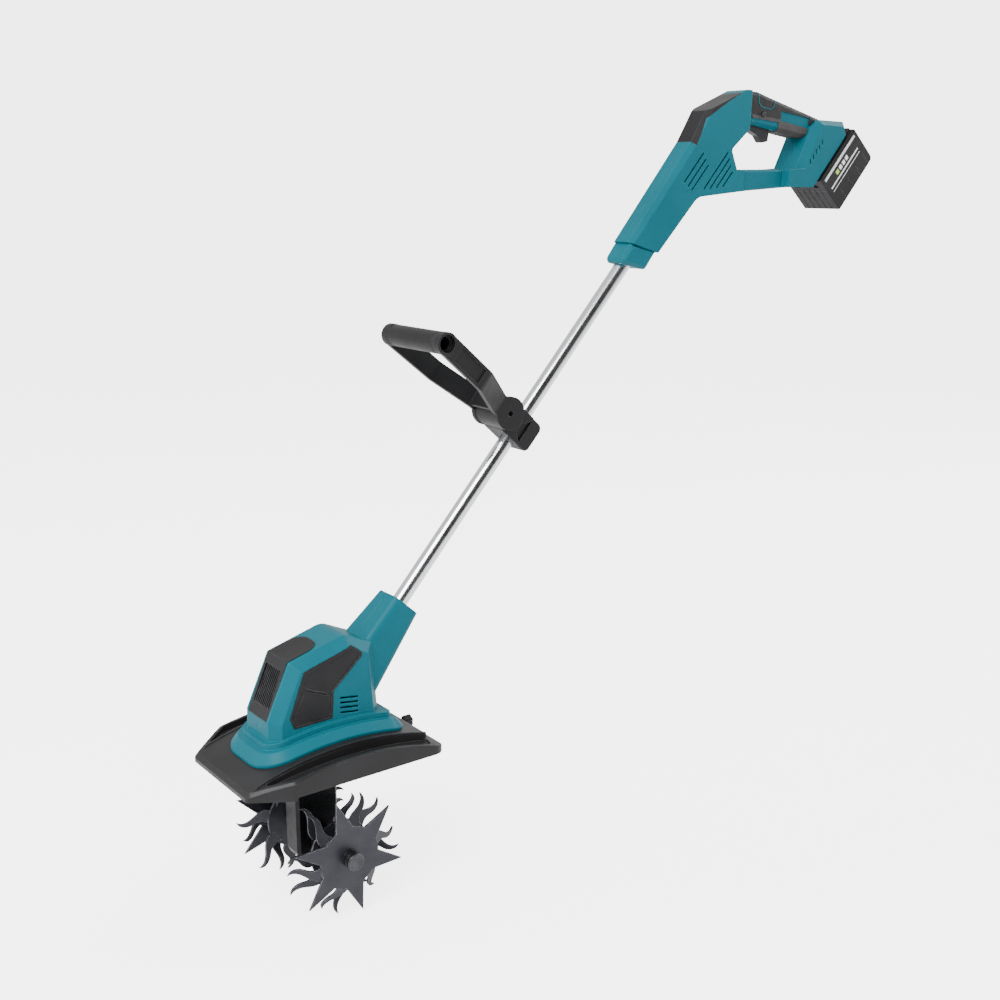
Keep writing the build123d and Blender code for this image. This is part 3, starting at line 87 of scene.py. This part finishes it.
class Nodes:
    """A small helper that adds and links shader nodes."""

    def __init__(self, name):
        self.material = bpy.data.materials.new(name)
        self.material.use_nodes = True
        self.tree = self.material.node_tree
        self.tree.nodes.clear()
        self.out = self.tree.nodes.new("ShaderNodeOutputMaterial")
        self.shader = self.tree.nodes.new("ShaderNodeBsdfPrincipled")
        self.link(self.shader.outputs[0], self.out.inputs[0])
        self.coords = self.tree.nodes.new("ShaderNodeTexCoord").outputs["Object"]

    def link(self, source, target):
        self.tree.links.new(source, target)

    def noise(self, scale, detail=4.0, roughness=0.55, stretch=None):
        node = self.tree.nodes.new("ShaderNodeTexNoise")
        node.inputs["Scale"].default_value = scale
        node.inputs["Detail"].default_value = detail
        node.inputs["Roughness"].default_value = roughness
        self.link(self.mapped(stretch), node.inputs["Vector"])
        return node.outputs["Fac"]

    def cells(self, scale):
        node = self.tree.nodes.new("ShaderNodeTexVoronoi")
        node.inputs["Scale"].default_value = scale
        self.link(self.coords, node.inputs["Vector"])
        return node.outputs["Distance"]

    def mapped(self, stretch):
        """The object's own coordinates, turned and scaled when stretch gives (rotation, scale)."""
        if stretch is None:
            return self.coords
        node = self.tree.nodes.new("ShaderNodeMapping")
        rotation, scale = stretch
        node.inputs["Rotation"].default_value = rotation
        node.inputs["Scale"].default_value = scale
        self.link(self.coords, node.inputs["Vector"])
        return node.outputs[0]

    def span(self, source, low, high, out_low, out_high):
        """Maps low to high onto out_low to out_high, and holds the ends."""
        node = self.tree.nodes.new("ShaderNodeMapRange")
        for key, value in (("From Min", low), ("From Max", high), ("To Min", out_low), ("To Max", out_high)):
            node.inputs[key].default_value = value
        self.link(source, node.inputs["Value"])
        return node.outputs[0]

    def mix(self, factor, a, b):
        """Colour a where the factor is 0 and b where it is 1."""
        node = self.tree.nodes.new("ShaderNodeMix")
        node.data_type = "RGBA"
        self.link(factor, node.inputs[0])
        for index, value in ((6, a), (7, b)):
            if isinstance(value, tuple):
                node.inputs[index].default_value = (*value, 1.0)
            else:
                self.link(value, node.inputs[index])
        return node.outputs[2]

    def math(self, operation, a, b):
        node = self.tree.nodes.new("ShaderNodeMath")
        node.operation = operation
        for index, value in ((0, a), (1, b)):
            if isinstance(value, float):
                node.inputs[index].default_value = value
            else:
                self.link(value, node.inputs[index])
        return node.outputs[0]

    def edges(self, radius):
        """About 1 on a sharp convex edge and 0 on a flat face."""
        bevel = self.tree.nodes.new("ShaderNodeBevel")
        bevel.samples = 4
        bevel.inputs["Radius"].default_value = radius
        geometry = self.tree.nodes.new("ShaderNodeNewGeometry")
        dot = self.tree.nodes.new("ShaderNodeVectorMath")
        dot.operation = "DOT_PRODUCT"
        self.link(bevel.outputs[0], dot.inputs[0])
        self.link(geometry.outputs["Normal"], dot.inputs[1])
        return self.span(dot.outputs["Value"], 0.995, 0.88, 0.0, 1.0)

    def surface(self, height, strength, distance, radius):
        """Bump over softened edges."""
        bump = self.tree.nodes.new("ShaderNodeBump")
        bump.inputs["Strength"].default_value = strength
        bump.inputs["Distance"].default_value = distance
        self.link(height, bump.inputs["Height"])
        if radius:
            bevel = self.tree.nodes.new("ShaderNodeBevel")
            bevel.samples = 6
            bevel.inputs["Radius"].default_value = radius
            self.link(bevel.outputs[0], bump.inputs["Normal"])
        self.link(bump.outputs[0], self.shader.inputs["Normal"])

    def set(self, **values):
        for key, value in values.items():
            target = self.shader.inputs[key.replace("_", " ")]
            if isinstance(value, (int, float)):
                target.default_value = value
            elif isinstance(value, tuple):
                target.default_value = (*value, 1.0) if len(value) == 3 else value
            else:
                self.link(value, target)


def plastic(name, dark, light, roughness, grain, bump=0.12, edge=None, radius=0.0009, shine=0.2):
    """Moulded plastic: a fine grain, slow colour change and paler convex edges, which are a painted
    highlight.
    """
    m = Nodes(name)
    slow = m.noise(9.0, 3.0)
    fine = m.noise(grain, 6.0, 0.6)
    colour = m.mix(m.span(slow, 0.3, 0.7, 0.0, 1.0), dark, light)
    # Convex edges take the edge colour as a painted highlight, broken up by noise.
    if edge:
        edge_wear_and_highlight = m.math("MULTIPLY", m.edges(0.0012), m.span(m.noise(55.0, 5.0), 0.35, 0.65, 0.25, 0.9))
        colour = m.mix(edge_wear_and_highlight, colour, edge)
    smudge = m.noise(26.0, 4.0, 0.5)
    rough = m.math("ADD", m.span(smudge, 0.3, 0.7, roughness - 0.05, roughness + 0.06),
                   m.span(fine, 0.3, 0.7, -0.02, 0.03))
    m.set(Base_Color=colour, Roughness=rough, Specular_IOR_Level=shine)
    m.surface(fine, bump, 0.0004, radius)
    return m.material


def rubber(name, dark, light):
    """Soft rubber with a fine dotted grain."""
    m = Nodes(name)
    dots = m.cells(520.0)
    fine = m.noise(900.0, 4.0)
    colour = m.mix(m.span(m.noise(22.0), 0.3, 0.7, 0.0, 1.0), dark, light)
    height = m.math("ADD", m.span(dots, 0.0, 0.6, 1.0, 0.0), fine)
    m.set(Base_Color=colour, Roughness=m.span(m.noise(60.0), 0.3, 0.7, 0.62, 0.8), Specular_IOR_Level=0.35)
    m.surface(height, 0.3, 0.0005, 0.0008)
    return m.material


def metal(name, dark, light, roughness, stretch=None, scale=120.0, bump=0.08, radius=0.0005, rust=0.0):
    """Bare metal: drawn or turned lines and uneven shine."""
    m = Nodes(name)
    lines = m.noise(scale, 5.0, 0.6, stretch)
    colour = m.mix(m.span(lines, 0.3, 0.7, 0.0, 1.0), dark, light)
    if rust:
        spots = m.span(m.noise(70.0, 6.0, 0.7), 0.62, 0.72, 0.0, rust)
        colour = m.mix(spots, colour, (0.16, 0.075, 0.04))
    rough = m.math("ADD", m.span(m.noise(35.0), 0.3, 0.7, roughness - 0.04, roughness + 0.06),
                   m.span(lines, 0.3, 0.7, -0.02, 0.04))
    m.set(Base_Color=colour, Metallic=1.0, Roughness=rough)
    m.surface(lines, bump, 0.0002, radius)
    return m.material


def coated_steel(name):
    """Dark coated sheet whose cut edges and tips are rubbed down to bare steel."""
    m = Nodes(name)
    patch = m.noise(30.0, 5.0, 0.6)
    fine = m.noise(420.0, 5.0, 0.65)
    coat = m.mix(m.span(patch, 0.3, 0.7, 0.0, 1.0), (0.012, 0.0125, 0.018), (0.028, 0.029, 0.037))
    edge_wear_and_highlight = m.math("MULTIPLY", m.edges(0.0009), m.span(m.noise(110.0, 6.0, 0.65), 0.40, 0.55, 0.05, 1.0))
    colour = m.mix(edge_wear_and_highlight, coat, (0.36, 0.36, 0.38))
    m.set(Base_Color=colour, Metallic=m.span(edge_wear_and_highlight, 0.0, 1.0, 0.35, 0.9),
          Roughness=m.span(m.math("ADD", patch, fine), 0.7, 1.3, 0.34, 0.5))
    m.surface(fine, 0.12, 0.0003, 0.0005)
    return m.material


def sticker(name, dark, light):
    """A printed plate with fine parallel lines and no lettering."""
    m = Nodes(name)
    wave = m.tree.nodes.new("ShaderNodeTexWave")
    wave.inputs["Scale"].default_value = 60.0
    wave.inputs["Distortion"].default_value = 0.6
    m.link(m.coords, wave.inputs["Vector"])
    colour = m.mix(m.span(wave.outputs["Fac"], 0.2, 0.8, 0.0, 1.0), dark, light)
    m.set(Base_Color=colour, Roughness=m.span(m.noise(80.0), 0.3, 0.7, 0.3, 0.42))
    m.surface(m.noise(600.0), 0.05, 0.0002, 0.0004)
    return m.material


# Drawn lines run along the tube, and turned lines run round the axle, as (rotation, scale).
TUBE_STRETCH = ((0.0, -(math.pi / 2 - TUBE_ANGLE), 0.0), (60.0, 60.0, 1.0))
AXLE_STRETCH = ((0.0, 0.0, 0.0), (1.0, 25.0, 1.0))

# In each plastic look, the colour after the bump is painted onto convex edges as a highlight.
LOOKS = {
    "teal": plastic("teal_plastic", (0.0012, 0.080, 0.107), (0.0018, 0.094, 0.125), 0.38, 1400.0, 0.07,
                    (0.010, 0.185, 0.225), 0.0022, 0.10),
    "black": plastic("black_plastic", (0.005, 0.005, 0.0055), (0.010, 0.010, 0.011), 0.40, 1100.0, 0.12,
                     (0.06, 0.06, 0.064), 0.001),
    "guard": plastic("guard_plastic", (0.008, 0.008, 0.0085), (0.014, 0.014, 0.015), 0.36, 800.0, 0.10,
                     (0.055, 0.055, 0.06), 0.0014),
    "handle": plastic("handle_plastic", (0.005, 0.005, 0.0055), (0.010, 0.010, 0.011), 0.42, 700.0, 0.2,
                      (0.05, 0.05, 0.055), 0.0012),
    "pad": rubber("grip_rubber", (0.030, 0.028, 0.027), (0.045, 0.042, 0.041)),
    "grip": rubber("grip_cover", (0.006, 0.006, 0.0065), (0.011, 0.011, 0.012)),
    "pack": plastic("pack_plastic", (0.006, 0.006, 0.0065), (0.011, 0.011, 0.012), 0.45, 900.0, 0.2,
                    (0.07, 0.07, 0.075), 0.0008),
    "plate": sticker("pack_plate", (0.42, 0.43, 0.44), (0.58, 0.59, 0.60)),
    "button": plastic("button_plastic", (0.014, 0.014, 0.015), (0.024, 0.024, 0.026), 0.34, 900.0, 0.1,
                      (0.06, 0.06, 0.062), 0.0008),
    "tube": metal("tube_metal", (0.62, 0.63, 0.65), (0.80, 0.81, 0.83), 0.17, TUBE_STRETCH, 14.0, 0.006),
    "tine": coated_steel("tine_steel"),
    "shaft": metal("shaft_steel", (0.16, 0.16, 0.17), (0.30, 0.30, 0.32), 0.32, AXLE_STRETCH, 60.0, 0.1,
                   0.0006, 0.25),
    "hub": metal("hub_steel", (0.045, 0.045, 0.05), (0.09, 0.09, 0.095), 0.36, AXLE_STRETCH, 60.0, 0.1,
                 0.0008, 0.2),
    "screw": metal("fastener_steel", (0.42, 0.42, 0.44), (0.58, 0.58, 0.60), 0.30, None, 300.0, 0.1,
                   0.0004, 0.2),
    "case": metal("gearcase_alloy", (0.012, 0.012, 0.013), (0.026, 0.026, 0.028), 0.36, None, 420.0, 0.35,
                  0.001),
    "bronze": metal("bronze", (0.42, 0.27, 0.10), (0.62, 0.42, 0.18), 0.34, None, 200.0),
    "contact": metal("contact_metal", (0.62, 0.45, 0.18), (0.80, 0.62, 0.30), 0.22, None, 200.0),
    "magnet": metal("magnet_iron", (0.07, 0.07, 0.075), (0.14, 0.14, 0.15), 0.5, None, 260.0, 0.2),
    "wire": plastic("wire_sleeve", (0.28, 0.02, 0.015), (0.40, 0.035, 0.025), 0.45, 700.0),
    "cell": plastic("cell_sleeve", (0.02, 0.09, 0.28), (0.03, 0.13, 0.38), 0.3, 500.0),
    "seal": rubber("seal_rubber", (0.012, 0.012, 0.012), (0.022, 0.022, 0.022)),
    "mark": sticker("mark_print", (0.60, 0.60, 0.60), (0.74, 0.74, 0.74)),
    "mark_green": sticker("mark_print_green", (0.28, 0.45, 0.04), (0.36, 0.55, 0.06)),
    "weld": metal("weld_bead", (0.03, 0.03, 0.034), (0.08, 0.08, 0.085), 0.45, None, 500.0, 0.5, 0.0),
}

BY_SLOT = {
    "teal_plastic": "teal", "black_plastic": "black", "grip_rubber": "pad", "tube_metal": "tube",
    "tine_steel": "tine", "shaft_steel": "shaft", "fastener_steel": "screw", "gearcase_alloy": "case",
    "bronze": "bronze", "copper_wire": "wire", "contact_metal": "contact", "pack_plastic": "pack",
    "pack_plate": "plate", "button_plastic": "button", "magnet": "magnet", "cell_sleeve": "cell",
    "seal_rubber": "seal",
}
BY_NODE = {
    "guard": "guard", "guard_knob": "guard", "aux_handle_frame": "handle", "aux_handle_grip": "handle",
    "clamp_body": "handle", "clamp_cap": "handle", "grip_overmould": "grip",
    "hub_left": "hub", "hub_right": "hub", "hinge_bolt": "hub", "hinge_nut": "hub",
}


def dress_frame():
    """Gives each CAD node the look of its material slot, or its own look where BY_NODE has one."""
    slots = {s["node"]: s["material_slot"] for s in frame["record"]["subparts"]}
    for name, node in frame["nodes"].items():
        look = LOOKS[BY_NODE.get(name, BY_SLOT[slots[name]])]
        node.data.materials.clear()
        node.data.materials.append(look)


# ---------------------------------------------------------------- pieces made here


def piece(name, points, faces, look, body, smooth=True):
    """A mesh that rides on a CAD body."""
    mesh = bpy.data.meshes.new(name)
    mesh.from_pydata([tuple(p) for p in points], [], faces)
    bm = bmesh.new()
    bm.from_mesh(mesh)
    bmesh.ops.recalc_face_normals(bm, faces=bm.faces)
    bm.to_mesh(mesh)
    bm.free()
    for polygon in mesh.polygons:
        polygon.use_smooth = smooth
    made = bpy.data.objects.new(name, mesh)
    bpy.context.scene.collection.objects.link(made)
    mesh.materials.append(LOOKS[look])
    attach(made, body)
    return made


def cord(name, path, radius, look, body, closed=True, sides=8, wobble=0.0):
    """A round bead that follows a path. wobble varies its thickness, as in a weld."""
    points, faces = [], []
    count = len(path)
    for index, point in enumerate(path):
        before = path[(index - 1) % count] if closed or index else point
        after = path[(index + 1) % count] if closed or index < count - 1 else point
        along = (after - before).normalized()
        first = along.orthogonal().normalized()
        if abs(along.y) < 0.99:
            first = along.cross(Vector((0, 1, 0))).normalized()
        second = along.cross(first).normalized()
        size = radius * (1 + wobble * (random.random() - 0.5))
        for side in range(sides):
            turn = 2 * math.pi * side / sides
            points.append(point + (first * math.cos(turn) + second * math.sin(turn)) * size)
    for index in range(count if closed else count - 1):
        following = (index + 1) % count
        for side in range(sides):
            beside = (side + 1) % sides
            faces.append((index * sides + side, index * sides + beside,
                          following * sides + beside, following * sides + side))
    if not closed:
        faces.append(tuple(range(sides)))
        faces.append(tuple((count - 1) * sides + side for side in range(sides)))
    return piece(name, points, faces, look, body)


def raised_plate(name, corners, outward, height, inset, look, body):
    """A thin plate with sloped edges on a flat face. corners go round its foot."""
    middle = sum(corners, Vector()) / len(corners)
    lift = outward * height
    top = [c + (middle - c).normalized() * inset + lift for c in corners]
    count = len(corners)
    faces = [(i, (i + 1) % count, count + (i + 1) % count, count + i) for i in range(count)]
    faces += [tuple(range(count)), tuple(range(count, 2 * count))]
    return piece(name, list(corners) + top, faces, look, body, smooth=False)


# The pack's side marks, as (start along the tube, end, low n, high n, look).
PACK_MARKS = [
    (1136.0, 1144.0, -233.5, -226.5, "mark_green"),
    (1147.0, 1154.0, -233.5, -226.5, "mark"),
    (1157.0, 1164.0, -233.5, -226.5, "mark"),
    (1167.0, 1174.0, -233.5, -226.5, "mark"),
    (1112.0, 1200.0, -240.5, -238.0, "mark"),
    (1112.0, 1200.0, -247.2, -246.2, "mark"),
]
MARK_HEIGHT = 0.00022
PACK_FACE = 38.4


def pack_marks():
    """Plain bars and lines on both sides of the pack, with no lettering."""
    for side, label in ((1, "left"), (-1, "right")):
        outward = Vector((0, side, 0))
        for index, (start, end, low, high, look) in enumerate(PACK_MARKS):
            corners = [on_tube(s, n, side * PACK_FACE) for s, n in
                       ((start, low), (end, low), (end, high), (start, high))]
            raised_plate(f"pack_mark_{label}_{index}", corners, outward, MARK_HEIGHT, 0.0002,
                         look, "battery")


# The line's path on the grip's side, as (x, z) in millimetres from the middle of the tine axle.
GRIP_LINE = [
    (-804.5, 1010.0),
    (-806.0, 996.5),
    (-812.0, 991.0),
    (-833.0, 987.5),
    (-839.0, 991.5),
    (-842.5, 1001.0),
]
GRIP_FACE = 18.7


def grip_lines():
    """A thin teal line let into each side of the grip, open at the top."""
    for side, label in ((1, "left"), (-1, "right")):
        corners = [at(x, side * GRIP_FACE, z) for x, z in GRIP_LINE]
        path = []
        for corner, following in zip(corners, corners[1:]):
            for step in range(8):
                path.append(corner.lerp(following, step / 8))
        path.append(corners[-1])
        cord(f"grip_line_{label}", path, 0.0007, "teal", "frame", closed=False)


def weld_beads():
    """A weld round each collar where it meets its disc."""
    for y in (60.5, 63.5, 87.0):
        for side, label in ((1, "left"), (-1, "right")):
            path = []
            for step in range(90):
                turn = 2 * math.pi * step / 90
                path.append(at(15.9 * math.cos(turn), side * y, 15.9 * math.sin(turn)))
            cord(f"weld_{label}_{int(y)}", path, 0.0011, "weld", "tine_axle", wobble=0.5)


# ---------------------------------------------------------------- floor, light and camera

# How bright the studio is to the camera, to matt surfaces, and to mirrors away from the dark side.
BACKDROP_POWER = 4.4
SOFT_POWER = 1.35
MIRROR_POWER = 1.05
# How far the floor is lit up for the camera.
FLOOR_GLOW = 3.2


def make_floor():
    """A wide pale floor just under the tines."""
    mesh = bpy.data.meshes.new("floor")
    side = 14.0
    corners = [(-side, -side, 0), (side, -side, 0), (side, side, 0), (-side, side, 0)]
    mesh.from_pydata(corners, [], [(0, 1, 2, 3)])
    floor = bpy.data.objects.new("floor", mesh)
    bpy.context.scene.collection.objects.link(floor)
    floor.location.z = CAD_BOX[0][2] - 0.0005
    m = Nodes("floor_paint")
    m.set(Base_Color=m.mix(m.span(m.noise(2.0), 0.3, 0.7, 0.0, 1.0), (0.86, 0.86, 0.87), (0.90, 0.90, 0.905)),
          Roughness=m.span(m.noise(12.0), 0.3, 0.7, 0.55, 0.7), Specular_IOR_Level=0.2)
    # The camera alone sees the floor lit up, so it stays as pale as the backdrop.
    seen = m.tree.nodes.new("ShaderNodeLightPath").outputs["Is Camera Ray"]
    m.set(Emission_Color=(1.0, 1.0, 1.0), Emission_Strength=m.math("MULTIPLY", seen, FLOOR_GLOW))
    floor.data.materials.append(m.material)


def area_light(name, place, target, size, power):
    data = bpy.data.lights.new(name, "AREA")
    data.shape = "RECTANGLE"
    data.size, data.size_y = size
    data.energy = power
    lamp = bpy.data.objects.new(name, data)
    bpy.context.scene.collection.objects.link(lamp)
    lamp.location = place
    lamp.rotation_euler = (Vector(target) - Vector(place)).to_track_quat("-Z", "Y").to_euler()


CAMERA_PLACE = (801.3, 1500.35, 882.9)
CAMERA_DOWN = math.radians(13.64)
CAMERA_TURN = math.radians(53.30)
CAMERA_LENS = 47.72


def camera_axes():
    """The camera's forward, up and right directions."""
    level = Vector((-math.cos(CAMERA_TURN), -math.sin(CAMERA_TURN), 0.0))
    forward = level * math.cos(CAMERA_DOWN) - Vector((0, 0, math.sin(CAMERA_DOWN)))
    up = level * math.sin(CAMERA_DOWN) + Vector((0, 0, math.cos(CAMERA_DOWN)))
    return forward, up, forward.cross(up)


def dark_screen():
    """The direction of the studio's dark side, which the tube mirrors as a long dark streak."""
    forward, up, right = camera_axes()
    along = Vector((-COS, 0.0, SIN))
    back = -(forward - along * forward.dot(along)).normalized()
    side = (right - along * right.dot(along)).normalized()
    turn = math.radians(20)
    return (along * 0.21 + (back * math.cos(turn) + side * math.sin(turn)) * 0.977).normalized()


def light_stage():
    """A white studio with one dark side, and three soft lamps."""
    world = bpy.data.worlds.new("studio")
    bpy.context.scene.world = world
    world.use_nodes = True
    tree = world.node_tree
    background = tree.nodes["Background"]
    coords = tree.nodes.new("ShaderNodeTexCoord").outputs["Generated"]
    dot = tree.nodes.new("ShaderNodeVectorMath")
    dot.operation = "DOT_PRODUCT"
    dot.inputs[1].default_value = dark_screen()
    tree.links.new(coords, dot.inputs[0])
    patch = tree.nodes.new("ShaderNodeMapRange")
    for key, value in (("From Min", 0.66), ("From Max", 0.88), ("To Min", MIRROR_POWER), ("To Max", 0.05)):
        patch.inputs[key].default_value = value
    tree.links.new(dot.outputs["Value"], patch.inputs["Value"])
    ray = tree.nodes.new("ShaderNodeLightPath")
    backdrop = tree.nodes.new("ShaderNodeMix")
    backdrop.inputs[2].default_value = SOFT_POWER
    backdrop.inputs[3].default_value = BACKDROP_POWER
    tree.links.new(ray.outputs["Is Camera Ray"], backdrop.inputs[0])
    mirror = tree.nodes.new("ShaderNodeMix")
    tree.links.new(ray.outputs["Is Glossy Ray"], mirror.inputs[0])
    tree.links.new(backdrop.outputs[0], mirror.inputs[2])
    tree.links.new(patch.outputs[0], mirror.inputs[3])
    tree.links.new(mirror.outputs[0], background.inputs[1])
    background.inputs[0].default_value = (1.0, 1.0, 1.0, 1.0)
    middle = (0.0, 0.0, 0.55)
    area_light("key", (2.7, 1.3, 3.3), middle, (2.2, 2.2), 240.0)
    area_light("fill", (3.4, -1.2, 1.6), middle, (2.4, 1.8), 36.0)
    area_light("rim", (-3.0, 0.6, 2.4), middle, (1.4, 2.4), 80.0)


def make_camera():
    """The camera, placed in millimetres from the middle of the axle."""
    data = bpy.data.cameras.new("camera")
    data.lens = CAMERA_LENS
    data.sensor_width = 36.0
    camera = bpy.data.objects.new("camera", data)
    bpy.context.scene.collection.objects.link(camera)
    forward, up, right = camera_axes()
    turn = Matrix((right, up, -forward)).transposed().to_4x4()
    camera.matrix_world = Matrix.Translation(at(*CAMERA_PLACE)) @ turn
    bpy.context.scene.camera = camera


dress_frame()
pack_marks()
grip_lines()
weld_beads()
make_floor()
light_stage()
make_camera()
